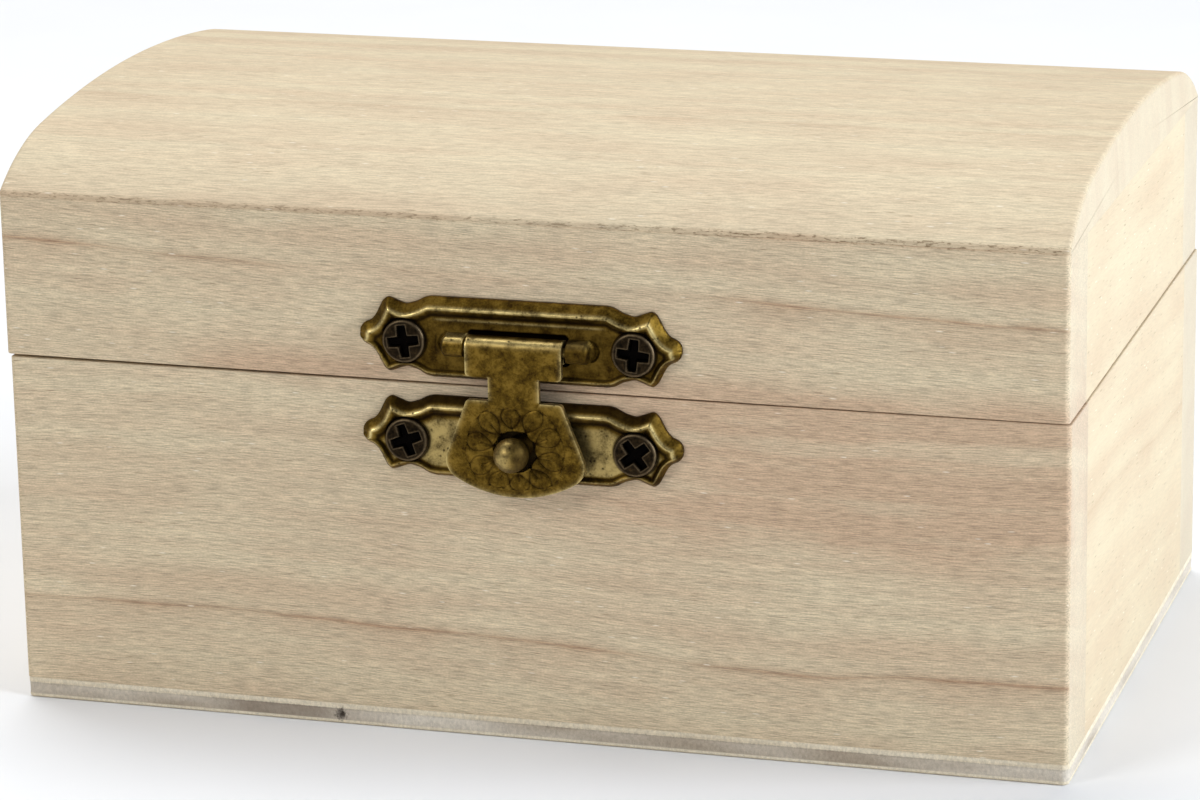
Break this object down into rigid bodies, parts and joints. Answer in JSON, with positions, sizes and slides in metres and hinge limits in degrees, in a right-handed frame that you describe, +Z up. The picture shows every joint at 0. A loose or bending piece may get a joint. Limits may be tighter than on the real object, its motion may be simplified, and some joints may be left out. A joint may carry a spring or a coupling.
{
  "type": "wooden money box",
  "caption": "Small wooden chest with a hinged domed lid, thick butt-jointed walls, a plywood bottom, a stamped brass hasp at the front and butt hinges at the rear.",
  "frame": {"origin": "middle of the wooden box on the underside of its plywood bottom, where it stands on the table", "axes": "+X along the length to the right as seen from the front, +Y from the front (hasp) to the rear (hinges), +Z up"},
  "size_m": [0.12, 0.0855, 0.0658],
  "materials": {
    "box_wood": "sanded, unfinished pale wood",
    "plywood": "unfinished thin plywood",
    "antique_brass": "stamped, antiqued",
    "bronzed_steel": "bronzed steel",
    "hinge_brass": "rolled sheet, antiqued"
  },
  "bodies": {
    "base": {"base_front_wall": "box_wood", "base_rear_wall": "box_wood", "base_left_end": "box_wood", "base_right_end": "box_wood", "bottom_panel": "plywood", "latch_base_plate": "antique_brass", "latch_stud": "antique_brass", "latch_base_screws": "bronzed_steel", "hinge_left_base_leaf": "hinge_brass", "hinge_left_pin": "hinge_brass", "hinge_right_base_leaf": "hinge_brass", "hinge_right_pin": "hinge_brass", "hinge_base_screws": "hinge_brass"},
    "lid": {"lid_front_rail": "box_wood", "lid_rear_rail": "box_wood", "lid_left_end": "box_wood", "lid_right_end": "box_wood", "lid_top": "box_wood", "latch_lid_plate": "antique_brass", "latch_hinge_pin": "antique_brass", "latch_lid_screws": "bronzed_steel", "hinge_left_lid_leaf": "hinge_brass", "hinge_right_lid_leaf": "hinge_brass", "hinge_lid_screws": "hinge_brass"},
    "flap": {"latch_flap": "antique_brass"}
  },
  "joints": [
    {"name": "lid_hinge", "type": "hinge", "parent": "base", "child": "lid", "pos_m": [0, 0.0398, 0.0401], "axis": [-1, 0, 0], "range_deg": [0, 175]},
    {"name": "flap_hinge", "type": "hinge", "parent": "lid", "child": "flap", "pos_m": [0, -0.0397, 0.045], "axis": [-1, 0, 0], "range_deg": [0, 150]}
  ]
}
